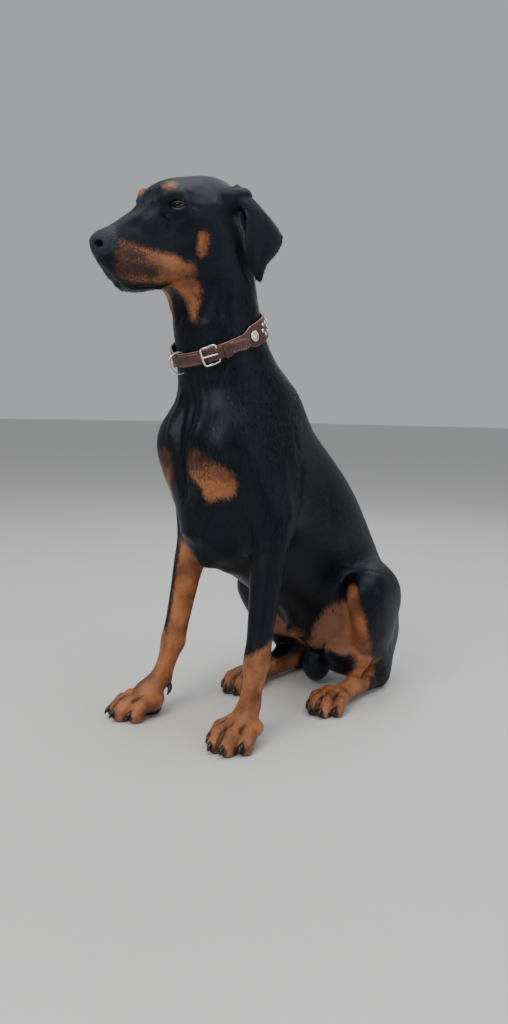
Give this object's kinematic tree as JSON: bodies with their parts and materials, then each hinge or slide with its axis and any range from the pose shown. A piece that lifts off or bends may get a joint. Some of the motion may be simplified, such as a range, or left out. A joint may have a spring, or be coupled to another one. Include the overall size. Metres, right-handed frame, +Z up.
{
  "type": "sitting doberman pinscher",
  "caption": "Sitting short-coated dog in black and rust with natural hanging ears and a studded leather collar, a still life-size model.",
  "frame": {"origin": "middle of the underside of the whole, on the floor plane", "axes": "+Z up, -Y the way the dog faces, +X the dog's left side"},
  "size_m": [0.3184, 0.6744, 0.8599],
  "materials": {
    "black": "short glossy black coat",
    "rust": "short rust coat",
    "skin": "bare dark skin",
    "nose": "moist black nose leather",
    "eye": "wet dark brown eye",
    "claw": "black horn",
    "leather": "red-brown strap leather",
    "steel": "polished nickel"
  },
  "bodies": {
    "root": {"collar_strap": "leather", "collar_tongue": "leather", "collar_keeper": "leather", "collar_buckle": "steel", "collar_prong": "steel", "collar_ring": "steel", "collar_concho_1": "steel", "collar_concho_2": "steel", "collar_concho_3": "steel", "collar_concho_4": "steel", "collar_concho_5": "steel", "eye_left": "eye", "ear_left": "black", "eye_right": "eye", "ear_right": "black", "nose": "nose", "head": "black", "neck": "black", "forepaw_left": "rust", "foreleg_left": "black", "hindfoot_left": "rust", "shank_left": "black", "thigh_left": "black", "claw_fore_left_1": "claw", "claw_fore_left_2": "claw", "claw_fore_left_3": "claw", "claw_fore_left_4": "claw", "claw_hind_left_1": "claw", "claw_hind_left_2": "claw", "claw_hind_left_3": "claw", "claw_hind_left_4": "claw", "forepaw_right": "rust", "foreleg_right": "rust", "hindfoot_right": "rust", "shank_right": "black", "thigh_right": "black", "claw_fore_right_1": "claw", "claw_fore_right_2": "claw", "claw_fore_right_3": "claw", "claw_fore_right_4": "claw", "claw_hind_right_1": "claw", "claw_hind_right_2": "claw", "claw_hind_right_3": "claw", "claw_hind_right_4": "claw", "tail": "black", "scrotum": "skin", "torso": "black"}
  },
  "joints": []
}
